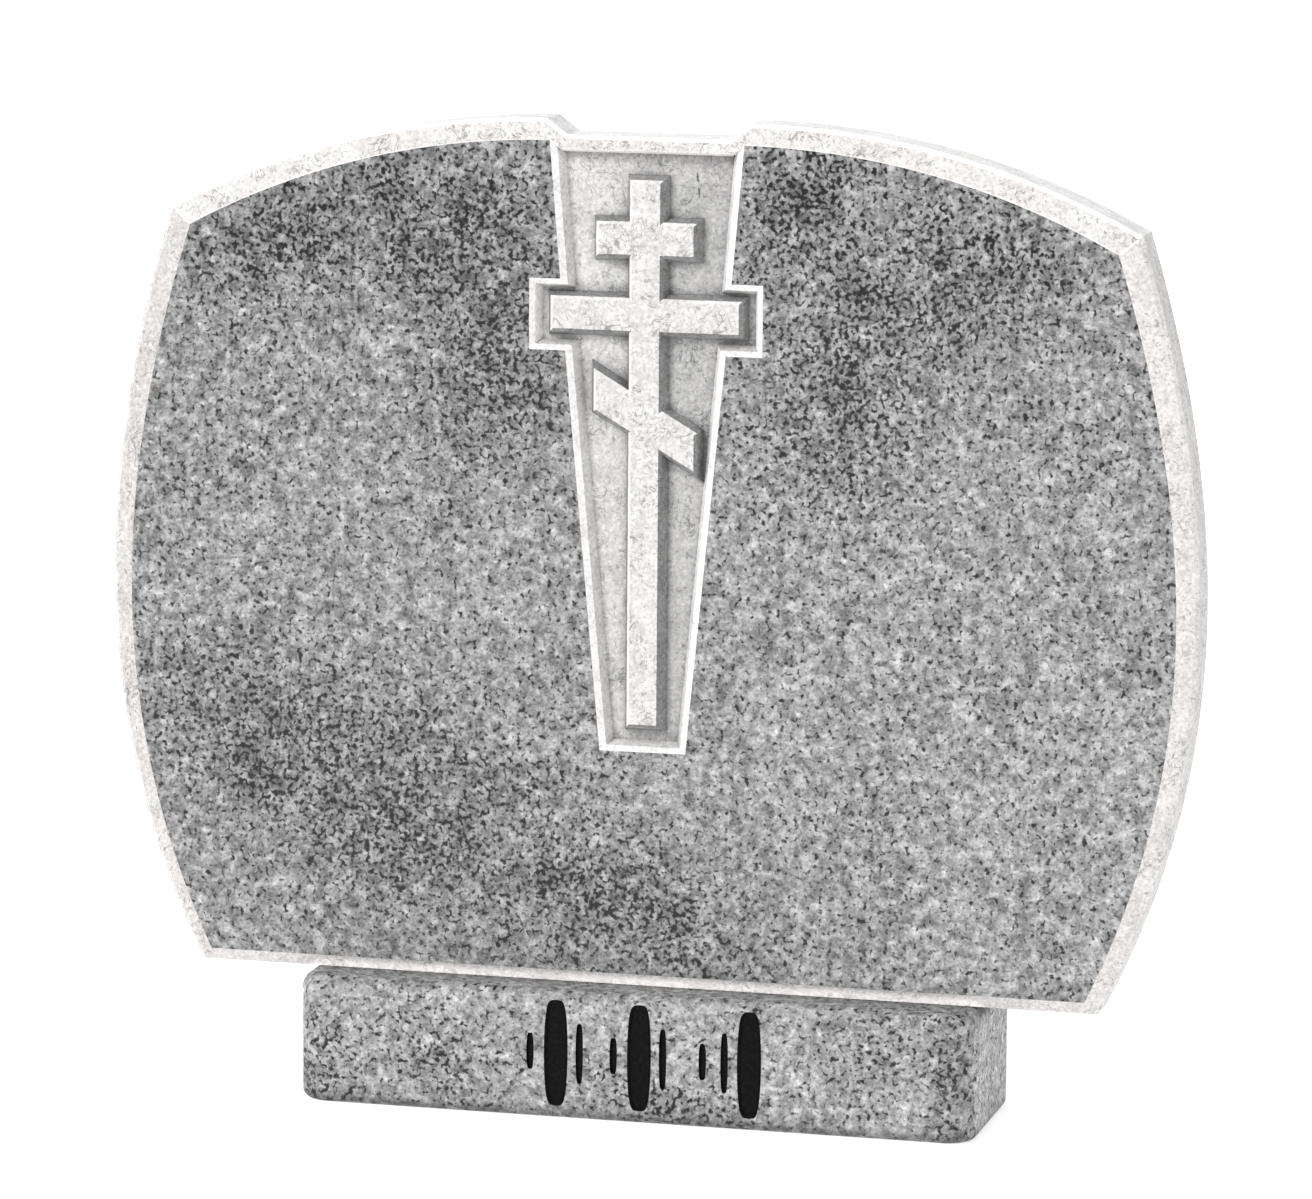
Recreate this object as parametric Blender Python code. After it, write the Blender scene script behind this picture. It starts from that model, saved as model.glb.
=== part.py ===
"""Grave marker: a carved granite tablet that stands on a rounded granite plinth.

Metres, +Z up. The origin is the middle of the plinth's underside, the polished
face looks along -Y, and X runs to the viewer's right.
"""
import math

import bmesh
import bpy
from mathutils import Matrix, Vector

# Plinth: a block with round upright corners, and its top and foot edges rounded off
PLINTH_WIDTH = 0.637
PLINTH_DEPTH = 0.182
PLINTH_HEIGHT = 0.1190
PLINTH_CORNER = 0.028
PLINTH_TOP_ROUND = 0.014
PLINTH_FOOT_ROUND = 0.009
ROUND_STEPS = 5

# The tablet stands on the plinth with this gap between the two solids, forward of its middle
SEAT_GAP = 0.0003
SEAT_FORWARD = 0.0255

# Tablet, symmetric about X = 0: its whole size, and how far its corners lie inside that width
TABLET_WIDTH = 1.015
TABLET_HEIGHT = 0.7919
TABLET_THICK = 0.055
FOOT_INSET = 0.0958
SHOULDER_INSET = 0.0775
SIDE_SKEW = -0.122
SIDE_STEPS = 26
CROWN_RISE = 0.0868
CROWN_SAG = 0.0216
CROWN_STEPS = 16

# Bevel round the polished face: how far it reaches out, edge by edge, and back
BEVEL_SIDE_HIGH = 0.0205
BEVEL_SIDE_LOW = 0.0115
BEVEL_SHOULDER = 0.0205
BEVEL_CROWN = 0.0155
BEVEL_FOOT = 0.0112
BEVEL_NOTCH = 0.0090
BEVEL_DEPTH = 0.0055

# Steeper second bevel outside the first, all round but for the foot, and the eased rear edge
EDGE_REACH = 0.0035
EDGE_DEPTH = 0.0030
REAR_ARRIS = 0.002

# Below this sine of a turn, two edges of an outline count as one smooth line
SMOOTH_TURN = 0.15

# Notch in the middle of the crown: half width at its mouth, and its splayed sides
NOTCH_HALF = 0.0900
NOTCH_RUN = 0.0107
NOTCH_DROP = 0.0079
NOTCH_CORNERS = 4

# Sunk panel under the notch: a tapering shaft, a box for the arms, a tapering tail
PANEL_SHAFT = 0.1171
PANEL_SHAFT_TAPER = 0.0106
PANEL_BOX_REACH = 0.0290
PANEL_BOX_HEIGHT = 0.0649
PANEL_NECK_STEP = 0.0048
PANEL_TAIL = 0.3649
PANEL_TAIL_TAPER = 0.0344
PANEL_DEPTH = 0.013

# The panel's wall: an arris and then a steeper part, each edge with its own reach
ARRIS_DEPTH = 0.0025
ARRIS_SHAFT = 0.0060
ARRIS_BOX = 0.0050
ARRIS_RIDGE = 0.0006
WALL_SHAFT = 0.0110
WALL_BOX = 0.0090
WALL_RIDGE = 0.0030

# Raised cross: its stem, the room round its arms on the panel's floor, and its arms
STEM_HALF = 0.0155
STEM_HEAD_GAP = 0.0260
STEM_FOOT_GAP = 0.0227
CROSS_BEVEL = 0.0026
CROSS_BEVEL_DEPTH = 0.0026
CROSS_FLARE = 0.0042
MAIN_ARM_END_ROOM = 0.0063
MAIN_ARM_SIDE_ROOM = 0.0032
MAIN_ARM_LIFT = 0.001
TITLE_ARM_HALF = 0.0466
TITLE_ARM_RISE = 0.0688
FOOT_ARM_DROP = 0.0960
FOOT_ARM_HEIGHT = 0.0335
FOOT_ARM_TILT = math.radians(30)
FOOT_ARM_END_ROOM = 0.0004

# Row of shallow strokes on the plinth's front
STROKE_DEPTH = 0.0028
STROKE_CLEAR = 0.004
STROKE_TAPER = 0.12
STROKE_STEPS = 8
STROKE_BLUNT = 0.22
STROKE_FOOT_MARGIN = 0.0120
STROKE_HEAD_MARGIN = 0.0070
STROKE_WIDE = 0.0225
STROKE_THIN = 0.0070
STROKE_LONG_SHARE = 0.56
STROKE_SHORT_SHARE = 0.34
WIDE_STROKES = (-0.0696, 0.0088, 0.1118)
LONG_STROKES = (-0.0474, 0.0310, 0.0886)
SHORT_STROKES = (-0.0940, -0.0154, 0.0682)

COLOURS = {
    "tablet": (0.36, 0.36, 0.365, 1.0),
    "plinth": (0.33, 0.33, 0.335, 1.0),
}
ROUGHNESS = {"tablet": 0.34, "plinth": 0.42}

# Corners of the polished face: half widths and levels, and how far the sides bow out past them
SEAT = PLINTH_HEIGHT + SEAT_GAP
FRONT = -TABLET_THICK / 2 - SEAT_FORWARD
BACK = TABLET_THICK / 2 - SEAT_FORWARD
FOOT_HALF = TABLET_WIDTH / 2 - FOOT_INSET
SHOULDER_HALF = TABLET_WIDTH / 2 - SHOULDER_INSET
SIDE_SAG = (FOOT_INSET + SHOULDER_INSET - BEVEL_SIDE_LOW - BEVEL_SIDE_HIGH) / 2 - EDGE_REACH
FOOT_Z = SEAT + BEVEL_FOOT
NOTCH_Z = SEAT + TABLET_HEIGHT - EDGE_REACH - BEVEL_CROWN
SHOULDER_Z = NOTCH_Z - CROWN_RISE

# Levels and half widths of the notch and of the panel, from the crown down
NOTCH_FLOOR_Z = NOTCH_Z - NOTCH_DROP
BOX_TOP_Z = NOTCH_FLOOR_Z - PANEL_SHAFT
BOX_LOW_Z = BOX_TOP_Z - PANEL_BOX_HEIGHT
PANEL_END_Z = BOX_LOW_Z - PANEL_TAIL
WAIST_HALF = NOTCH_HALF - PANEL_SHAFT_TAPER
BOX_HALF = WAIST_HALF + PANEL_BOX_REACH
NECK_HALF = WAIST_HALF - PANEL_NECK_STEP
END_HALF = NECK_HALF - PANEL_TAIL_TAPER

# Levels of the cross
MAIN_ARM_Z = (BOX_TOP_Z + BOX_LOW_Z) / 2 + MAIN_ARM_LIFT
MAIN_ARM_HEIGHT = PANEL_BOX_HEIGHT - 2 * (WALL_BOX + CROSS_FLARE + MAIN_ARM_SIDE_ROOM)
MAIN_ARM_HALF = BOX_HALF - WALL_BOX - CROSS_FLARE - MAIN_ARM_END_ROOM
TITLE_ARM_Z = MAIN_ARM_Z + TITLE_ARM_RISE
FOOT_ARM_Z = MAIN_ARM_Z - FOOT_ARM_DROP
STEM_TOP_Z = NOTCH_FLOOR_Z - STEM_HEAD_GAP
STEM_FOOT_Z = PANEL_END_Z + STEM_FOOT_GAP


def clear_objects():
    for item in list(bpy.data.objects):
        bpy.data.objects.remove(item, do_unlink=True)


def material(name):
    made = bpy.data.materials.new(name + "_granite")
    made.use_nodes = True
    shader = made.node_tree.nodes["Principled BSDF"]
    shader.inputs["Base Color"].default_value = COLOURS[name]
    shader.inputs["Roughness"].default_value = ROUGHNESS[name]
    shader.inputs["Metallic"].default_value = 0.0
    return made


def add_object(name, bm, with_material=True):
    """Turn a bmesh into a named object in the scene."""
    bmesh.ops.recalc_face_normals(bm, faces=bm.faces)
    mesh = bpy.data.meshes.new(name)
    bm.to_mesh(mesh)
    bm.free()
    made = bpy.data.objects.new(name, mesh)
    bpy.context.scene.collection.objects.link(made)
    if with_material:
        mesh.materials.append(material(name))
    return made


def bulged(start, end, sag, skew, steps):
    """Points of a bowed line, without its end; a skew makes one part of it fuller."""
    chord = end - start
    out = Vector((chord.y, -chord.x)).normalized()
    points = []
    for i in range(steps):
        t = i / steps
        bow = 4 * t * (1 - t) * (1 + skew * (2 * t - 1))
        points.append(start + chord * t + out * (sag * bow))
    return points


def mirrored(points):
    return [Vector((-p.x, p.y)) for p in reversed(points)]


def outset(points, widths):
    """Move every edge of a counter-clockwise loop out by its own width, with mitred corners."""
    count = len(points)
    normals = []
    for i in range(count):
        edge = points[(i + 1) % count] - points[i]
        normals.append(Vector((edge.y, -edge.x)).normalized())
    moved = []
    for i in range(count):
        n0, n1 = normals[i - 1], normals[i]
        w0, w1 = widths[i - 1], widths[i]
        cross = n0.x * n1.y - n0.y * n1.x
        if abs(cross) < SMOOTH_TURN:
            step = (n0 + n1).normalized() * ((w0 + w1) / 2)
        else:
            step = Vector((w0 * n1.y - w1 * n0.y, w1 * n0.x - w0 * n1.x)) / cross
        moved.append(points[i] + step)
    return moved


def graded(first, last, steps):
    """Widths of a row of edges that change evenly from one size to another."""
    return [first + (last - first) * (i + 0.5) / steps for i in range(steps)]


def face_loop():
    """Outline of the polished face with the notch, and the bevel's reach edge by edge."""
    foot = Vector((FOOT_HALF, FOOT_Z))
    shoulder = Vector((SHOULDER_HALF, SHOULDER_Z))
    notch = Vector((NOTCH_HALF, NOTCH_Z))
    floor = Vector((NOTCH_HALF - NOTCH_RUN, NOTCH_FLOOR_Z))
    side = bulged(foot, shoulder, SIDE_SAG, SIDE_SKEW, SIDE_STEPS)
    crown = bulged(shoulder, notch, CROWN_SAG, 0.0, CROWN_STEPS)
    right = side + crown + [notch, floor]
    reach = graded(BEVEL_SIDE_LOW, BEVEL_SIDE_HIGH, SIDE_STEPS)
    reach += graded(BEVEL_SHOULDER, BEVEL_CROWN, CROWN_STEPS) + [BEVEL_NOTCH]
    return right + mirrored(right), reach + [BEVEL_NOTCH] + reach[::-1] + [BEVEL_FOOT]


def panel_loop():
    """Outline of the sunk panel, with the reach of its arris and of its whole wall."""
    right = [
        Vector((END_HALF, PANEL_END_Z)),
        Vector((NECK_HALF, BOX_LOW_Z)),
        Vector((BOX_HALF, BOX_LOW_Z)),
        Vector((BOX_HALF, BOX_TOP_Z)),
        Vector((WAIST_HALF, BOX_TOP_Z)),
        Vector((NOTCH_HALF, NOTCH_Z)),
        Vector((NOTCH_HALF - NOTCH_RUN, NOTCH_FLOOR_Z)),
    ]

    def reach(shaft, box, ridge):
        half = [shaft, box, box, box, shaft, ridge]
        return half + [ridge] + half[::-1] + [box]

    arris = reach(ARRIS_SHAFT, ARRIS_BOX, ARRIS_RIDGE)
    wall = reach(WALL_SHAFT, WALL_BOX, WALL_RIDGE)
    return right + mirrored(right), arris, wall


def foot_arm_half():
    """Half length of the slanted arm, so that its lower end stops short of the panel's wall."""
    taper = PANEL_TAIL_TAPER / PANEL_TAIL
    slope = math.tan(FOOT_ARM_TILT)
    corner_drop = BOX_LOW_Z - FOOT_ARM_Z + FOOT_ARM_HEIGHT / (2 * math.cos(FOOT_ARM_TILT)) + CROSS_FLARE
    room = WALL_SHAFT * math.hypot(1.0, taper) + CROSS_FLARE + FOOT_ARM_END_ROOM
    return (NECK_HALF - taper * corner_drop - room) / (1 + taper * slope)


def arm_corners(side, level, half, height, tilt):
    """Four corners of one half of an arm, out from the stem along one edge and back along the other."""
    def corner(x, up):
        return Vector((x, level - x * math.tan(tilt) + up * height / (2 * math.cos(tilt))))

    x0, x1 = side * STEM_HALF, side * half
    return [corner(x0, -side), corner(x1, -side), corner(x1, side), corner(x0, side)]


def cross_loop():
    """Outline of the three-armed cross, counter-clockwise from the foot of its stem."""
    arms = [
        (FOOT_ARM_Z, foot_arm_half(), FOOT_ARM_HEIGHT, FOOT_ARM_TILT),
        (MAIN_ARM_Z, MAIN_ARM_HALF, MAIN_ARM_HEIGHT, 0.0),
        (TITLE_ARM_Z, TITLE_ARM_HALF, MAIN_ARM_HEIGHT, 0.0),
    ]
    right = [Vector((STEM_HALF, STEM_FOOT_Z))]
    left = [Vector((-STEM_HALF, STEM_TOP_Z))]
    for arm in arms:
        right += arm_corners(1, *arm)
    for arm in reversed(arms):
        left += arm_corners(-1, *arm)
    return right + [Vector((STEM_HALF, STEM_TOP_Z))] + left + [Vector((-STEM_HALF, STEM_FOOT_Z))]


def ring(bm, points, y):
    return [bm.verts.new((p.x, y, p.y)) for p in points]


def bridge(bm, lower, upper):
    """Quads between two rings of the same length."""
    count = len(lower)
    for i in range(count):
        j = (i + 1) % count
        bm.faces.new((lower[i], lower[j], upper[j], upper[i]))


def fill_between(bm, outer, inner):
    """Flat fill between an outline and an island inside it."""
    edges = []
    for loop in (outer, inner):
        for i, vert in enumerate(loop):
            edges.append(bm.edges.get((vert, loop[(i + 1) % len(loop)])))
    bmesh.ops.triangle_fill(bm, use_beauty=True, use_dissolve=False, edges=edges, normal=(0.0, -1.0, 0.0))


def build_tablet():
    bm = bmesh.new()
    face, bevel = face_loop()
    count = len(face)
    edge = outset(face, bevel)
    outer = outset(edge, [EDGE_REACH] * (count - 1) + [0.0])
    rear = ring(bm, outset(outer, [-REAR_ARRIS] * count), BACK)
    rear_edge = ring(bm, outer, BACK - REAR_ARRIS)
    side_edge = ring(bm, outer, FRONT + BEVEL_DEPTH + EDGE_DEPTH)
    front_edge = ring(bm, edge, FRONT + BEVEL_DEPTH)
    front = ring(bm, face, FRONT)
    bm.faces.new(rear)
    bridge(bm, rear, rear_edge)
    bridge(bm, rear_edge, side_edge)
    bridge(bm, side_edge, front_edge)
    bridge(bm, front_edge, front)

    # The panel's top edge is the notch's own edge, so the two rings share those corners
    panel, arris, wall = panel_loop()
    notch_right = SIDE_STEPS + CROWN_STEPS
    shared = front[notch_right:notch_right + NOTCH_CORNERS]
    notch_first = (len(panel) - NOTCH_CORNERS) // 2
    notch_end = notch_first + NOTCH_CORNERS
    rim = []
    for i, point in enumerate(panel):
        if notch_first <= i < notch_end:
            rim.append(shared[i - notch_first])
        else:
            rim.append(bm.verts.new((point.x, FRONT, point.y)))
    step = ring(bm, outset(panel, [-w for w in arris]), FRONT + ARRIS_DEPTH)
    floor = ring(bm, outset(panel, [-w for w in wall]), FRONT + PANEL_DEPTH)
    bridge(bm, rim, step)
    bridge(bm, step, floor)
    right_of_panel = front[:notch_right + 1] + rim[:notch_first][::-1]
    left_of_panel = rim[notch_end:][::-1] + front[notch_right + NOTCH_CORNERS - 1:]
    bm.faces.new(right_of_panel + left_of_panel)

    cross = cross_loop()
    sides = len(cross)
    top = ring(bm, outset(cross, [-CROSS_BEVEL] * sides), FRONT)
    shoulder = ring(bm, cross, FRONT + CROSS_BEVEL_DEPTH)
    base = ring(bm, outset(cross, [CROSS_FLARE] * sides), FRONT + PANEL_DEPTH)
    bm.faces.new(top)
    bridge(bm, top, shoulder)
    bridge(bm, shoulder, base)
    fill_between(bm, floor, base)

    big = [f for f in bm.faces if len(f.verts) > 4]
    bmesh.ops.triangulate(bm, faces=big, quad_method="BEAUTY", ngon_method="BEAUTY")
    return add_object("tablet", bm)


def stroke_outline(low, high, width):
    """A long leaf shape with its two ends drawn to a point."""
    middle, reach = (low + high) / 2, (high - low) / 2
    right = []
    for i in range(STROKE_STEPS + 1):
        t = -math.cos(math.pi * i / STROKE_STEPS)
        right.append(Vector((width / 2 * max(0.0, 1 - t * t) ** STROKE_BLUNT, middle + reach * t)))
    return right + mirrored(right[1:-1])


def stroke_cutter(x, low, high, width):
    """A shallow tapered cutter in front of the plinth, reaching into its face."""
    bm = bmesh.new()
    face_y = -PLINTH_DEPTH / 2
    slope = width * STROKE_TAPER
    spread = slope * STROKE_CLEAR / STROKE_DEPTH
    mouth = stroke_outline(low - spread, high + spread, width + spread + spread)
    bed = stroke_outline(low + slope, high - slope, width - slope - slope)
    outer = ring(bm, mouth, face_y - STROKE_CLEAR)
    inner = ring(bm, bed, face_y + STROKE_DEPTH)
    bridge(bm, outer, inner)
    bm.faces.new(outer)
    bm.faces.new(inner)
    bm.transform(Matrix.Translation((x, 0.0, 0.0)))
    return bm


def strokes():
    """Every stroke of the row: middle, low end, high end, width."""
    low = STROKE_FOOT_MARGIN
    high = PLINTH_HEIGHT - STROKE_HEAD_MARGIN
    for x in WIDE_STROKES:
        yield x, low, high, STROKE_WIDE
    for share, places in ((STROKE_LONG_SHARE, LONG_STROKES), (STROKE_SHORT_SHARE, SHORT_STROKES)):
        trim = (high - low) * (1 - share) / 2
        for x in places:
            yield x, low + trim, high - trim, STROKE_THIN


def block_ring(bm, inset, level):
    """One level of the block: a rectangle with round corners, in from its full size by the inset."""
    half_x = PLINTH_WIDTH / 2 - PLINTH_CORNER
    half_y = PLINTH_DEPTH / 2 - PLINTH_CORNER
    reach = PLINTH_CORNER - inset
    verts = []
    for quarter, (side_x, side_y) in enumerate(((1, 1), (-1, 1), (-1, -1), (1, -1))):
        for i in range(ROUND_STEPS + 1):
            angle = math.pi / 2 * (quarter + i / ROUND_STEPS)
            x = side_x * half_x + reach * math.cos(angle)
            y = side_y * half_y + reach * math.sin(angle)
            verts.append(bm.verts.new((x, y, level)))
    return verts


def block_levels():
    """Inset and level of each ring of the block, from its underside to its top."""
    for i in range(ROUND_STEPS + 1):
        angle = math.pi / 2 * i / ROUND_STEPS
        yield PLINTH_FOOT_ROUND * (1 - math.sin(angle)), PLINTH_FOOT_ROUND * (1 - math.cos(angle))
    for i in range(ROUND_STEPS + 1):
        angle = math.pi / 2 * i / ROUND_STEPS
        yield PLINTH_TOP_ROUND * (1 - math.cos(angle)), PLINTH_HEIGHT - PLINTH_TOP_ROUND * (1 - math.sin(angle))


def build_plinth():
    bm = bmesh.new()
    rings = [block_ring(bm, inset, level) for inset, level in block_levels()]
    for lower, upper in zip(rings, rings[1:]):
        bridge(bm, lower, upper)
    bm.faces.new(rings[0])
    bm.faces.new(rings[-1])
    plinth = add_object("plinth", bm)

    cutters = bmesh.new()
    for stroke in strokes():
        single = stroke_cutter(*stroke)
        scratch = bpy.data.meshes.new("stroke_scratch")
        single.to_mesh(scratch)
        single.free()
        cutters.from_mesh(scratch)
        bpy.data.meshes.remove(scratch)
    cutter = add_object("stroke_cutter", cutters, with_material=False)
    cutter.hide_render = True
    cutter.display_type = "WIRE"

    cut = plinth.modifiers.new("strokes", "BOOLEAN")
    cut.operation = "DIFFERENCE"
    cut.solver = "EXACT"
    cut.object = cutter
    bpy.context.view_layer.update()
    graph = bpy.context.evaluated_depsgraph_get()
    carved = bpy.data.meshes.new_from_object(plinth.evaluated_get(graph))
    plinth.modifiers.clear()
    plain = plinth.data
    plinth.data = carved
    carved.name = "plinth"
    bpy.data.meshes.remove(plain)
    bpy.data.objects.remove(cutter, do_unlink=True)
    return plinth


clear_objects()
build_plinth()
build_tablet()
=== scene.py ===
import math

import bmesh
import bpy
from mathutils import Matrix, Vector


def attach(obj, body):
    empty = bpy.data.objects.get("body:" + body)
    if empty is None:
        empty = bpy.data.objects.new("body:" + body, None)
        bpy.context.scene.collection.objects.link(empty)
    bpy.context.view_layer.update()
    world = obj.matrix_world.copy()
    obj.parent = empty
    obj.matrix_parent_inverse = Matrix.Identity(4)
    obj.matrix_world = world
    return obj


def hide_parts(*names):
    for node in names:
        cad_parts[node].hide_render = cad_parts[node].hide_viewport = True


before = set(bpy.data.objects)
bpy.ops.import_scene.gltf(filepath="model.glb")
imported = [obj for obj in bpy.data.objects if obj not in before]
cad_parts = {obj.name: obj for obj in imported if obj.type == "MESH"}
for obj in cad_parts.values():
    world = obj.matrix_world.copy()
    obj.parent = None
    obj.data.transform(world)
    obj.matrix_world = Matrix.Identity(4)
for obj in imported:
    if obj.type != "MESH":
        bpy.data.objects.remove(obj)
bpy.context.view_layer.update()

# Sizes of the solids, in metres, with the names they have in the part's source
PLINTH_WIDTH = 0.637
PLINTH_DEPTH = 0.182
PLINTH_HEIGHT = 0.1190
PLINTH_CORNER = 0.028
PLINTH_TOP_ROUND = 0.014
PLINTH_FOOT_ROUND = 0.009
SEAT_GAP = 0.0003
SEAT_FORWARD = 0.0255
TABLET_WIDTH = 1.015
TABLET_HEIGHT = 0.7919
TABLET_THICK = 0.055
FOOT_INSET = 0.0958
SHOULDER_INSET = 0.0775
SIDE_SKEW = -0.122
CROWN_RISE = 0.0868
CROWN_SAG = 0.0216
BEVEL_SIDE_HIGH = 0.0205
BEVEL_SIDE_LOW = 0.0115
BEVEL_SHOULDER = 0.0205
BEVEL_CROWN = 0.0155
BEVEL_FOOT = 0.0112
BEVEL_NOTCH = 0.0090
BEVEL_DEPTH = 0.0055
EDGE_REACH = 0.0035
EDGE_DEPTH = 0.0030
REAR_ARRIS = 0.002
NOTCH_HALF = 0.0900
NOTCH_RUN = 0.0107
NOTCH_DROP = 0.0079
NOTCH_CORNERS = 4
PANEL_SHAFT = 0.1171
PANEL_SHAFT_TAPER = 0.0106
PANEL_BOX_REACH = 0.0290
PANEL_BOX_HEIGHT = 0.0649
PANEL_NECK_STEP = 0.0048
PANEL_TAIL = 0.3649
PANEL_TAIL_TAPER = 0.0344
PANEL_DEPTH = 0.013
ARRIS_DEPTH = 0.0025
ARRIS_SHAFT = 0.0060
ARRIS_BOX = 0.0050
ARRIS_RIDGE = 0.0006
WALL_SHAFT = 0.0110
WALL_BOX = 0.0090
WALL_RIDGE = 0.0030
STEM_HALF = 0.0155
STEM_HEAD_GAP = 0.0260
STEM_FOOT_GAP = 0.0227
CROSS_BEVEL = 0.0026
CROSS_BEVEL_DEPTH = 0.0026
CROSS_FLARE = 0.0042
MAIN_ARM_END_ROOM = 0.0063
MAIN_ARM_SIDE_ROOM = 0.0032
MAIN_ARM_LIFT = 0.001
TITLE_ARM_HALF = 0.0466
TITLE_ARM_RISE = 0.0688
FOOT_ARM_DROP = 0.0960
FOOT_ARM_HEIGHT = 0.0335
FOOT_ARM_TILT = math.radians(30)
FOOT_ARM_END_ROOM = 0.0004
STROKE_DEPTH = 0.0028
STROKE_CLEAR = 0.004
STROKE_TAPER = 0.12
STROKE_BLUNT = 0.22
STROKE_FOOT_MARGIN = 0.0120
STROKE_HEAD_MARGIN = 0.0070
STROKE_WIDE = 0.0225
STROKE_THIN = 0.0070
STROKE_LONG_SHARE = 0.56
STROKE_SHORT_SHARE = 0.34
WIDE_STROKES = (-0.0696, 0.0088, 0.1118)
LONG_STROKES = (-0.0474, 0.0310, 0.0886)
SHORT_STROKES = (-0.0940, -0.0154, 0.0682)

# Finer steps than the solids have, and the small facets that only the looks need; along the crown the line
# facet carries a painted highlight
SIDE_STEPS = 104
CROWN_STEPS = 64
STROKE_STEPS = 20
ROUND_STEPS = 12
INSIDE = 0.00012
EDGE_LINE = 0.07
SMOOTH_TURN = 0.15
SHARP_TURN = math.radians(20)

SEAT = PLINTH_HEIGHT + SEAT_GAP
FRONT = -TABLET_THICK / 2 - SEAT_FORWARD
BACK = TABLET_THICK / 2 - SEAT_FORWARD
FOOT_HALF = TABLET_WIDTH / 2 - FOOT_INSET
SHOULDER_HALF = TABLET_WIDTH / 2 - SHOULDER_INSET
SIDE_SAG = (FOOT_INSET + SHOULDER_INSET - BEVEL_SIDE_LOW - BEVEL_SIDE_HIGH) / 2 - EDGE_REACH
FOOT_Z = SEAT + BEVEL_FOOT
NOTCH_Z = SEAT + TABLET_HEIGHT - EDGE_REACH - BEVEL_CROWN
SHOULDER_Z = NOTCH_Z - CROWN_RISE
NOTCH_FLOOR_Z = NOTCH_Z - NOTCH_DROP
BOX_TOP_Z = NOTCH_FLOOR_Z - PANEL_SHAFT
BOX_LOW_Z = BOX_TOP_Z - PANEL_BOX_HEIGHT
PANEL_END_Z = BOX_LOW_Z - PANEL_TAIL
WAIST_HALF = NOTCH_HALF - PANEL_SHAFT_TAPER
BOX_HALF = WAIST_HALF + PANEL_BOX_REACH
NECK_HALF = WAIST_HALF - PANEL_NECK_STEP
END_HALF = NECK_HALF - PANEL_TAIL_TAPER
MAIN_ARM_Z = (BOX_TOP_Z + BOX_LOW_Z) / 2 + MAIN_ARM_LIFT
MAIN_ARM_HEIGHT = PANEL_BOX_HEIGHT - 2 * (WALL_BOX + CROSS_FLARE + MAIN_ARM_SIDE_ROOM)
MAIN_ARM_HALF = BOX_HALF - WALL_BOX - CROSS_FLARE - MAIN_ARM_END_ROOM
TITLE_ARM_Z = MAIN_ARM_Z + TITLE_ARM_RISE
FOOT_ARM_Z = MAIN_ARM_Z - FOOT_ARM_DROP
STEM_TOP_Z = NOTCH_FLOOR_Z - STEM_HEAD_GAP
STEM_FOOT_Z = PANEL_END_Z + STEM_FOOT_GAP

# The camera: where it looks, its turn and tilt, its distance and its lens on a 36 mm sensor
CAMERA_TARGET = Vector((0.0119, FRONT, 0.4787))
CAMERA_YAW = math.radians(14.25)
CAMERA_PITCH = math.radians(9.21)
CAMERA_ROLL = math.radians(0.44)
CAMERA_DISTANCE = 5.740
SENSOR = 36.0
LENS = 174.06
CLIP_NEAR = 0.1
CLIP_FAR = 200.0


STONE_IOR = 1.5
EYE_GAMMA = 2.2
OPEN_SAMPLES = 12
BUMP_DISTANCE = 0.001


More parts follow.
